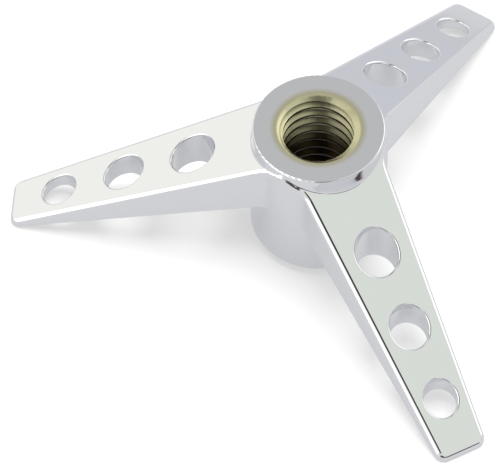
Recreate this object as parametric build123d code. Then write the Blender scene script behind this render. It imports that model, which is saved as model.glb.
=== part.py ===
from build123d import *
import math
import os

# Three-arm wing nut: one casting, threaded right through its hub and chrome plated.
# Millimetres, +Z up. The origin is on the thread's axis, on the seat under the boss,
# and the first arm points along +X.

# Hub
hub_height = 14.3             # seat to the flat top of the collar
boss_diameter = 13.0          # round boss that bears on the work
boss_edge_radius = 0.3
collar_diameter = 12.5        # raised ring round the mouth of the thread, at its top
hub_ledge = 0.35              # web between the arms, beyond the collar's top
collar_height = 1.95          # its top over an arm's top, at its wall
collar_draft = 3.0            # degrees, wider at the foot
collar_rim_radius = 0.15
collar_foot_radius = 0.25

# Thread, M8 x 1.25: the wall is smooth here, at the minor diameter
bore_diameter = 6.7
countersink_diameter = 8.4
countersink_angle = 120.0     # included

# Arms
arm_count = 3
tip_radius = 29.8             # axis to the end of an arm
arm_droop = 28.2              # degrees, fall of an arm's flat top
arm_root_depth = 6.9          # top to underside, carried in to the axis
arm_tip_depth = 0.8
arm_root_width = 9.5          # over the flat sides, carried in to the axis
arm_tip_width = 5.0
crotch_radius = 2.5           # hollow corner between an arm and the hub
tip_corner_radius = 1.0
top_edge_radius = 0.6
low_edge_radius = 0.15

# Lightening holes through each arm, square to the seat
hole_places = (11.9, 18.6, 25.0)
hole_diameters = (4.1, 3.7, 3.2)
hole_edge_radius = 0.2

# Derived
collar_radius = collar_diameter / 2
hub_radius = collar_radius + hub_ledge
droop = math.tan(math.radians(arm_droop))
roof_apex = hub_height - collar_height + collar_radius * droop
floor_apex = roof_apex - arm_root_depth
floor_slope = droop - (arm_root_depth - arm_tip_depth) / tip_radius
share = 360 / arm_count       # degrees of the hub that belong to each arm
reach = 2 * tip_radius        # beyond the whole part
on_base = (Align.CENTER, Align.CENTER, Align.MIN)


def arm_top(x):
    """Height of an arm's flat top at x from the axis."""
    return roof_apex - droop * x


def arm_floor(x):
    """Height of an arm's underside at x from the axis."""
    return floor_apex - floor_slope * x


def crotch_fillet():
    """Corner radius, held to what the hub's wall between two arms has room for."""
    free = math.sin(math.radians(share / 2))
    room = (hub_radius * free - arm_root_width / 2) / (1 - free)
    return min(crotch_radius, 0.9 * room)


def plan():
    """The hub and arms seen from above, with hollow corners and rounded ends."""
    half_root, half_tip = arm_root_width / 2, arm_tip_width / 2
    blade = make_face(Polyline((0, half_root), (tip_radius, half_tip), (tip_radius, -half_tip),
                               (0, -half_root), close=True))
    ends = blade.vertices().group_by(Axis.X)[-1]
    blade = fillet(ends, tip_corner_radius)
    star = Circle(hub_radius) + [blade.rotate(Axis.Z, k * share) for k in range(arm_count)]
    corners = star.vertices().filter_by(
        lambda v: abs(math.hypot(v.X, v.Y) - hub_radius) < 1e-3)
    return fillet(corners, crotch_fillet())


def is_hole_mouth(edge):
    """Whether an edge is where a lightening hole comes out of its arm."""
    if edge.geom_type == GeomType.LINE or not edge.is_closed:
        return False
    middle = edge.bounding_box().center()
    return any(math.hypot(middle.X - place, middle.Y) < 0.01 for place in hole_places)


def arm():
    """One arm along +X, with the share of the hub that belongs to it."""
    side = Vector(reach, 0)
    wedge = make_face(Polyline(Vector(), side.rotate(Axis.Z, -share / 2),
                               side.rotate(Axis.Z, share / 2), close=True))
    solid = extrude(Plane.XY.offset(-reach) * (plan() & wedge), 2 * reach)
    solid = split(solid, Plane((0, 0, roof_apex), z_dir=(droop, 0, 1)), keep=Keep.BOTTOM)
    solid = split(solid, Plane((0, 0, floor_apex), z_dir=(floor_slope, 0, 1)), keep=Keep.TOP)
    wedge_slope = math.tan(math.radians(share / 2))

    def lies_on(edge, height):
        middle = edge.center()
        inside = abs(middle.Y) < 0.98 * wedge_slope * middle.X
        return inside and all(abs(v.Z - height(v.X)) < 1e-3 for v in edge.vertices())

    solid = fillet(solid.edges().filter_by(lambda e: lies_on(e, arm_top)), top_edge_radius)
    solid = fillet(solid.edges().filter_by(lambda e: lies_on(e, arm_floor)), low_edge_radius)
    for place, diameter in zip(hole_places, hole_diameters):
        solid -= Pos(place, 0) * Cylinder(diameter / 2, 2 * reach)
    return fillet(solid.edges().filter_by(is_hole_mouth), hole_edge_radius)


def arms():
    """All the arms, cut off just under the collar's top."""
    one = arm()
    whole = Part() + [one.rotate(Axis.Z, k * share) for k in range(arm_count)]
    return split(whole, Plane.XY.offset(hub_height - collar_rim_radius), keep=Keep.BOTTOM)


def boss():
    """Plain round boss from the seat up into the arms."""
    solid = Cylinder(boss_diameter / 2, floor_apex, align=on_base)
    return fillet(solid.edges().group_by(Axis.Z)[0], boss_edge_radius)


def collar():
    """Drafted ring from inside the arms up to the flat top, its rim still sharp."""
    height = hub_height - floor_apex
    foot = collar_radius + height * math.tan(math.radians(collar_draft))
    return Pos(0, 0, floor_apex) * Cone(foot, collar_radius, height, align=on_base)


def is_collar_foot(edge):
    """Whether an edge lies on the collar's wall, below its top."""
    draft = math.tan(math.radians(collar_draft))
    spots = [edge.position_at(u) for u in (0, 0.25, 0.5, 0.75, 1)]
    if edge.geom_type == GeomType.LINE or spots[2].Z > hub_height - 0.01:
        return False
    return all(abs(math.hypot(p.X, p.Y) - collar_radius - (hub_height - p.Z) * draft) < 2e-3
               for p in spots)


def rim_waste():
    """Ring outside the collar's rounded rim."""
    draft = math.radians(collar_draft)
    r = collar_rim_radius
    middle = Vector(collar_radius + r * math.tan(draft) - r / math.cos(draft), 0, hub_height - r)

    def on_arc(angle):
        return middle + Vector(r * math.cos(angle), 0, r * math.sin(angle))

    top, wall = on_arc(math.pi / 2), on_arc(draft)
    arc = ThreePointArc(top, on_arc((draft + math.pi / 2) / 2), wall)
    rest = Polyline(wall, wall + Vector(r, 0, 0), wall + Vector(r, 0, 2 * r),
                    top + Vector(0, 0, r), top)
    return revolve(make_face([arc, rest]), Axis.Z)


def bore():
    """Threaded hole, countersunk where it opens in the collar."""
    hole, mouth = bore_diameter / 2, countersink_diameter / 2
    depth = (mouth - hole) / math.tan(math.radians(countersink_angle / 2))
    countersink = Pos(0, 0, hub_height - depth) * Cone(hole, mouth, depth, align=on_base)
    return Cylinder(hole, hub_height, align=on_base) + countersink


def nut():
    body = arms() + boss() + collar()
    body = fillet(body.edges().filter_by(is_collar_foot), collar_foot_radius)
    return body - rim_waste() - bore()


os.makedirs("parts", exist_ok=True)
export_step(nut(), "parts/three_arm_nut.step")
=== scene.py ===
import math

import bmesh
import bpy
from mathutils import Matrix, Vector


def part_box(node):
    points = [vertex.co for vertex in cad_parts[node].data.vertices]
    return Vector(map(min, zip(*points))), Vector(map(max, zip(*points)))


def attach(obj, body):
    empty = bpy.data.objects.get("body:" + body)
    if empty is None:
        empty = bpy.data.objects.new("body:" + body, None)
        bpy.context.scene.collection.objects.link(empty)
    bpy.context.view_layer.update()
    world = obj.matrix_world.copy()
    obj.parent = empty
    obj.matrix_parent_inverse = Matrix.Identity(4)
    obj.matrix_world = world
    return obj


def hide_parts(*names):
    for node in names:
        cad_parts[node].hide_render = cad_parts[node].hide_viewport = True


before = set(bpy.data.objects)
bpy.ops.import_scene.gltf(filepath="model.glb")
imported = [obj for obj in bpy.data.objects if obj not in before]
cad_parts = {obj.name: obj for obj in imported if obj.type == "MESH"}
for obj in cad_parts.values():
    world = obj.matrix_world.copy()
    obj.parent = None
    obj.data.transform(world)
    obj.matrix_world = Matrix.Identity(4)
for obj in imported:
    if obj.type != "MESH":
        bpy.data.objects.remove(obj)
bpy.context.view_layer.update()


# ---- Plated casting ------------------------------------------------------------------------
# The whole nut is one zinc die casting: a round hub with three drooping arms, each lightened
# by three holes. It is tapped right through, then polished and chrome plated.

MM = 0.001
hub_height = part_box("three_arm_nut")[1][2]
join_distance = 0.001 * MM
same_plane = math.radians(0.1)
sharp_edge = math.radians(32)
flat_area = 6.0 * MM ** 2     # a flat has more than this, and a strip of a rounded edge less

bpy.ops.object.select_all(action="DESELECT")
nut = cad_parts["three_arm_nut"].copy()
nut.data = nut.data.copy()
nut.name = nut.data.name = "plated_casting"
nut.parent = None
bpy.context.collection.objects.link(nut)
nut.select_set(True)
bpy.context.view_layer.objects.active = nut
if nut.data.has_custom_normals:
    bpy.ops.mesh.customdata_custom_splitnormals_clear()
bpy.ops.object.mode_set(mode="EDIT")
bpy.ops.mesh.select_all(action="SELECT")
bpy.ops.mesh.remove_doubles(threshold=join_distance)
bpy.ops.mesh.dissolve_limited(angle_limit=same_plane)
bpy.ops.object.mode_set(mode="OBJECT")

# The thread is M8 x 1.25, right-hand. A solid screw of its form, longer than the hub at both
# ends, is turned from one groove's outline and cut out of the casting.
thread_pitch = 1.25 * MM
groove_radius = 4.0 * MM
groove_half = 0.08 * MM       # half the width of a groove's bottom
ridge_radius = 3.37 * MM
ridge_half = 0.17 * MM        # half the width of a ridge's top
ridge_round = 0.06 * MM
ridge_fall = 0.3 * ridge_round
screw_start = -2 * thread_pitch
screw_turns = 15
screw_steps = 96              # per turn

half_pitch = thread_pitch / 2
ridge_to_groove = [(ridge_radius, -half_pitch),
                   (ridge_radius, -half_pitch + ridge_half - ridge_round),
                   (ridge_radius + ridge_fall, -half_pitch + ridge_half),
                   (groove_radius, -groove_half)]
groove_to_ridge = [(radius, -height) for radius, height in reversed(ridge_to_groove)]
outline = ridge_to_groove + groove_to_ridge

bpy.ops.object.select_all(action="DESELECT")
bpy.ops.mesh.primitive_circle_add(vertices=len(outline), fill_type="NOTHING")
screw = bpy.context.object
bpy.ops.object.mode_set(mode="EDIT")
form = bmesh.from_edit_mesh(screw.data)
form.verts.ensure_lookup_table()
for vertex, (radius, height) in zip(form.verts, outline):
    vertex.co = (radius, 0, height + screw_start)
ends = {0, len(outline) - 1}
closing = [edge for edge in form.edges if {v.index for v in edge.verts} == ends]
bmesh.ops.delete(form, geom=closing, context="EDGES_FACES")
bmesh.update_edit_mesh(screw.data)
bpy.ops.object.mode_set(mode="OBJECT")
turning = screw.modifiers.new("turning", "SCREW")
turning.axis = "Z"
turning.angle = math.tau
turning.screw_offset = thread_pitch
turning.iterations = screw_turns
turning.steps = turning.render_steps = screw_steps
bpy.ops.object.modifier_apply(modifier=turning.name)

bpy.ops.object.mode_set(mode="EDIT")
bpy.ops.mesh.select_all(action="SELECT")
bpy.ops.mesh.remove_doubles(threshold=2 * join_distance)
bpy.ops.mesh.select_mode(type="EDGE")
form = bmesh.from_edit_mesh(screw.data)
middle = sum(v.co.z for v in form.verts) / len(form.verts)
for side in (-1, 1):
    bpy.ops.mesh.select_all(action="DESELECT")
    form = bmesh.from_edit_mesh(screw.data)
    for edge in form.edges:
        edge.select_set(edge.is_boundary and side * (edge.verts[0].co.z - middle) > 0)
    bmesh.update_edit_mesh(screw.data)
    bpy.ops.mesh.extrude_region_move()
    bpy.ops.mesh.merge(type="CENTER")
bpy.ops.mesh.select_all(action="SELECT")
bpy.ops.mesh.normals_make_consistent(inside=False)
bpy.ops.object.mode_set(mode="OBJECT")

tapping = nut.modifiers.new("tapping", "BOOLEAN")
tapping.operation = "DIFFERENCE"
tapping.solver = "EXACT"
tapping.object = screw
bpy.context.view_layer.objects.active = nut
bpy.ops.object.modifier_apply(modifier=tapping.name)
bpy.data.objects.remove(screw)

# The flats are polished true, so the rounded edges take their shading from them.
bpy.ops.object.select_all(action="DESELECT")
nut.select_set(True)
bpy.ops.object.shade_smooth_by_angle(angle=sharp_edge)
bpy.ops.object.mode_set(mode="EDIT")
bpy.ops.mesh.select_mode(type="FACE")
for strength, is_flat in (("WEAK", False), ("STRONG", True)):
    bpy.ops.mesh.select_all(action="DESELECT")
    surface = bmesh.from_edit_mesh(nut.data)
    for face in surface.faces:
        face.select_set((face.calc_area() > flat_area) == is_flat)
    bmesh.update_edit_mesh(nut.data)
    bpy.ops.mesh.mod_weighted_strength(set=True, face_strength=strength)
bpy.ops.object.mode_set(mode="OBJECT")
polish = nut.modifiers.new("polish", "WEIGHTED_NORMAL")
polish.keep_sharp = True
polish.use_face_influence = True
bpy.ops.object.modifier_apply(modifier=polish.name)


def linear(hex_colour):
    """Linear values of an sRGB colour."""
    parts = [int(hex_colour[i:i + 2], 16) / 255 for i in (1, 3, 5)]
    return [p / 12.92 if p < 0.04045 else ((p + 0.055) / 1.055) ** 2.4 for p in parts] + [1.0]


def node(tree, kind, links=(), **settings):
    """Adds a node. Its links are (input, output socket or value) pairs."""
    made = tree.nodes.new(kind)
    for key, value in settings.items():
        setattr(made, key, value)
    for name, value in links:
        if isinstance(value, bpy.types.NodeSocket):
            tree.links.new(value, made.inputs[name])
        else:
            made.inputs[name].default_value = value
    return made


# Bright chrome on polished zinc: a neutral mirror that wavers a little where the casting is
# not quite flat. Little plating reaches the tapped bore, and its mouth yellows. Painted shade
# darkens its grooves and deepens down the bore, where little light reaches.
chrome_colour = "#EBECEE"
mouth_colour = "#CFCBA6"
# Painted shade: the dark brown painted into the bore's grooves and its depths.
bore_shade_colour = "#2E2618"
plated_from = 4.75 * MM       # off the axis: full plating outside this
bare_within = 4.0 * MM
groove_shade_share = 0.75            # share of painted shade at a groove's bottom
casting_waver = 4 * MM        # length of one wave
cutting_marks = 0.9 * MM
mark_depth = 0.06 * MM

chrome = bpy.data.materials.new("bright_chrome_on_cast_zinc")
chrome.use_nodes = True
tree = chrome.node_tree
tree.nodes.clear()
place = node(tree, "ShaderNodeTexCoord").outputs["Object"]
height = node(tree, "ShaderNodeSeparateXYZ", [(0, place)]).outputs["Z"]
level_place = node(tree, "ShaderNodeVectorMath", [(0, place), (1, (1, 1, 0))],
                   operation="MULTIPLY")
off_axis = node(tree, "ShaderNodeVectorMath", [(0, level_place.outputs[0])],
                operation="LENGTH").outputs["Value"]
bare = node(tree, "ShaderNodeMapRange",
            [("Value", off_axis), ("From Min", plated_from), ("From Max", bare_within)],
            interpolation_type="SMOOTHSTEP")
# Painted shade: the bore's colour is painted darker with depth below its top.
deep = node(tree, "ShaderNodeMapRange",
            [("Value", height), ("From Min", hub_height - 1.2 * MM),
             ("From Max", hub_height - 6.5 * MM)])
# Painted shade in the grooves: darker towards the groove bottoms, below the mouth.
in_groove = node(tree, "ShaderNodeMapRange",
                 [("Value", off_axis), ("From Min", 3.45 * MM), ("From Max", 3.85 * MM),
                  ("To Max", groove_shade_share)])
below_mouth = node(tree, "ShaderNodeMapRange",
                   [("Value", height), ("From Min", hub_height - 0.45 * MM),
                    ("From Max", hub_height - 0.75 * MM)])
shaded_grooves = node(tree, "ShaderNodeMath", [(0, in_groove.outputs[0]), (1, below_mouth.outputs[0])],
              operation="MULTIPLY")
# The painted shade takes the darker of the grooves' and the depth's share.
painted_bore_shade = node(tree, "ShaderNodeMath", [(0, shaded_grooves.outputs[0]), (1, deep.outputs[0])],
            operation="MAXIMUM")
bore_tint_and_shade = node(tree, "ShaderNodeMix",
                 [(0, painted_bore_shade.outputs[0]), (6, linear(mouth_colour)), (7, linear(bore_shade_colour))],
                 data_type="RGBA")
tint = node(tree, "ShaderNodeMix",
            [(0, bare.outputs[0]), (6, linear(chrome_colour)), (7, bore_tint_and_shade.outputs[2])],
            data_type="RGBA")
roughness = node(tree, "ShaderNodeMapRange",
                 [("Value", bare.outputs[0]), ("To Min", 0.05), ("To Max", 0.3)])
waver = node(tree, "ShaderNodeTexNoise",
             [("Vector", place), ("Scale", 1 / casting_waver), ("Detail", 1.0)])
cast_surface = node(tree, "ShaderNodeBump",
                    [("Height", waver.outputs[0]), ("Strength", 0.3), ("Distance", 0.02 * MM)])
marks = node(tree, "ShaderNodeTexNoise",
             [("Vector", place), ("Scale", 1 / cutting_marks), ("Detail", 1.0)])
marks_in_bore = node(tree, "ShaderNodeMath", [(0, marks.outputs[0]), (1, bare.outputs[0])],
                     operation="MULTIPLY")
cut_surface = node(tree, "ShaderNodeBump",
                   [("Height", marks_in_bore.outputs[0]), ("Strength", 0.6),
                    ("Distance", mark_depth), ("Normal", cast_surface.outputs[0])])
metal = node(tree, "ShaderNodeBsdfPrincipled",
             [("Base Color", tint.outputs[2]), ("Metallic", 1.0),
              ("Roughness", roughness.outputs[0]), ("Normal", cut_surface.outputs[0])])
node(tree, "ShaderNodeOutputMaterial", [("Surface", metal.outputs[0])])
nut.data.materials.clear()
nut.data.materials.append(chrome)

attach(nut, "root")
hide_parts("three_arm_nut")


# ---- Floor ---------------------------------------------------------------------------------
# A plain sheet of white paper, which the nut stands on by the tips of its three arms.
# It shows white, and a little dimmer in the metal, and keeps the nut's shadow.

floor_size = 6.0
floor_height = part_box("three_arm_nut")[0][2]
paper_colour = "#C8C8C8"
added_white = 0.37            # what is added to the lit paper where the camera sees it
mirrored_colour = "#FAFBFF"
mirrored_white = 0.74
mirrored_share = 0.7          # how much of the paper in the metal is plain white

bpy.ops.object.select_all(action="DESELECT")
bpy.ops.mesh.primitive_plane_add(size=floor_size, location=(0, 0, floor_height))
floor = bpy.context.object
floor.name = "floor"
paper = bpy.data.materials.new("white_paper")
paper.use_nodes = True
tree = paper.node_tree
tree.nodes.clear()
seen = node(tree, "ShaderNodeLightPath")
lit = node(tree, "ShaderNodeBsdfDiffuse", [("Color", linear(paper_colour))])
white = node(tree, "ShaderNodeEmission",
             [("Color", linear("#FFFFFF")), ("Strength", added_white)])
added = node(tree, "ShaderNodeMixShader",
             [(0, seen.outputs["Is Camera Ray"]), (2, white.outputs[0])])
shown = node(tree, "ShaderNodeAddShader", [(0, lit.outputs[0]), (1, added.outputs[0])])
mirrored = node(tree, "ShaderNodeEmission",
                [("Color", linear(mirrored_colour)), ("Strength", mirrored_white)])
in_metal = node(tree, "ShaderNodeMath", [(0, seen.outputs["Is Glossy Ray"]), (1, mirrored_share)],
                operation="MULTIPLY")
sheet = node(tree, "ShaderNodeMixShader",
             [(0, in_metal.outputs[0]), (1, shown.outputs[0]), (2, mirrored.outputs[0])])
node(tree, "ShaderNodeOutputMaterial", [("Surface", sheet.outputs[0])])
floor.data.materials.append(paper)


# ---- Light ---------------------------------------------------------------------------------
# A light tent: pale walls all round, brighter panels left and right, a greyer seam behind and
# three dark gaps at the front, which draw the dark lines along the rounded edges.

tent_level = 0.80
panels = [                    # direction, degrees to its edge, softness, colour, level
    ((0.04, -0.56, 0.83), 24, 22, "#FFFFFF", 0.57),
    ((0.76, -0.04, 0.66), 14, 10, "#F0ECD0", 0.52),
    ((0.71, -0.56, 0.43), 22, 12, "#FFFFF8", 1.03),
    ((0.90, 0.34, 0.30), 30, 12, "#FFFFFF", 1.60),
    ((0.55, 0.55, 0.62), 14, 8, "#FFFFFF", 1.50),
    ((-0.74, -0.50, 0.38), 24, 12, "#FFFFFA", 1.50),
    ((-0.20, -0.98, 0.05), 14, 12, "#F6F7FF", 0.72),
    ((-0.45, 0.20, 0.87), 16, 10, "#FAFFF6", 0.84),
    ((-0.01, 0.38, 0.92), 17, 4, "#F0D8CC", 0.05),
    ((-0.05, 0.98, 0.15), 19, 6, "#E8C8CC", 0.12),
    ((-0.66, 0.75, 0.02), 18, 6, "#E8C8CC", 0.12),
]
tent = bpy.data.worlds.new("light_tent")
tent.use_nodes = True
tree = tent.node_tree
tree.nodes.clear()
toward = node(tree, "ShaderNodeTexCoord").outputs["Generated"]
shade = node(tree, "ShaderNodeRGB").outputs[0]
shade.default_value = [tent_level] * 3 + [1]
for direction, edge, softness, colour, level in panels:
    lined_up = node(tree, "ShaderNodeVectorMath",
                    [(0, toward), (1, Vector(direction).normalized())],
                    operation="DOT_PRODUCT")
    share = node(tree, "ShaderNodeMapRange",
                 [("Value", lined_up.outputs["Value"]),
                  ("From Min", math.cos(math.radians(edge + softness / 2))),
                  ("From Max", math.cos(math.radians(edge - softness / 2)))],
                 interpolation_type="SMOOTHSTEP")
    panel = [level * part for part in linear(colour)[:3]] + [1]
    shade = node(tree, "ShaderNodeMix", [(0, share.outputs[0]), (6, shade), (7, panel)],
                 data_type="RGBA").outputs[2]
walls = node(tree, "ShaderNodeBackground", [("Color", shade)])
white = node(tree, "ShaderNodeBackground", [("Color", linear("#FFFFFF")), ("Strength", 1.0)])
seen = node(tree, "ShaderNodeLightPath")
sky = node(tree, "ShaderNodeMixShader",
           [(0, seen.outputs["Is Camera Ray"]), (1, walls.outputs[0]), (2, white.outputs[0])])
node(tree, "ShaderNodeOutputWorld", [("Surface", sky.outputs[0])])
scene = bpy.context.scene
scene.world = tent
scene.view_settings.view_transform = "Standard"

# A broad lamp nearly overhead keeps the shadow soft and close under the arms.
lamp_place = Vector((-0.03, -0.05, 0.50))
lamp_width = 0.40
lamp_watts = 2.2
lamp = bpy.data.lights.new("broad_lamp", "AREA")
lamp.shape = "DISK"
lamp.size = lamp_width
lamp.energy = lamp_watts
lamp_stand = bpy.data.objects.new("broad_lamp", lamp)
lamp_stand.location = lamp_place
lamp_stand.rotation_euler = lamp_place.to_track_quat("Z", "Y").to_euler()
lamp_stand.visible_glossy = False
bpy.context.collection.objects.link(lamp_stand)


# ---- Camera --------------------------------------------------------------------------------
# A long lens looking down on the nut from between two of its arms. The hub's top centre
# sits well above the middle of the frame, and to its right.

azimuth = math.radians(-176.063)
elevation = math.radians(56.027)
roll = math.radians(-0.705)
distance = 338.76 * MM
aside = -6.443 * MM
above = -10.341 * MM
focal_length = 259.7
film_width = 36.0

back = Vector((math.sin(azimuth) * math.cos(elevation), -math.cos(azimuth) * math.cos(elevation),
               math.sin(elevation)))
level = Vector((math.cos(azimuth), math.sin(azimuth), 0))
upright = back.cross(level)
right = math.cos(roll) * level + math.sin(roll) * upright
up = math.cos(roll) * upright - math.sin(roll) * level
stand = Vector((0, 0, hub_height)) + distance * back + aside * right + above * up
lens = bpy.data.cameras.new("camera")
lens.lens = focal_length
lens.sensor_width = film_width
lens.sensor_fit = "HORIZONTAL"
lens.clip_start = 10 * MM
camera = bpy.data.objects.new("camera", lens)
camera.matrix_world = Matrix.Translation(stand) @ Matrix((right, up, back)).transposed().to_4x4()
bpy.context.collection.objects.link(camera)
scene.camera = camera
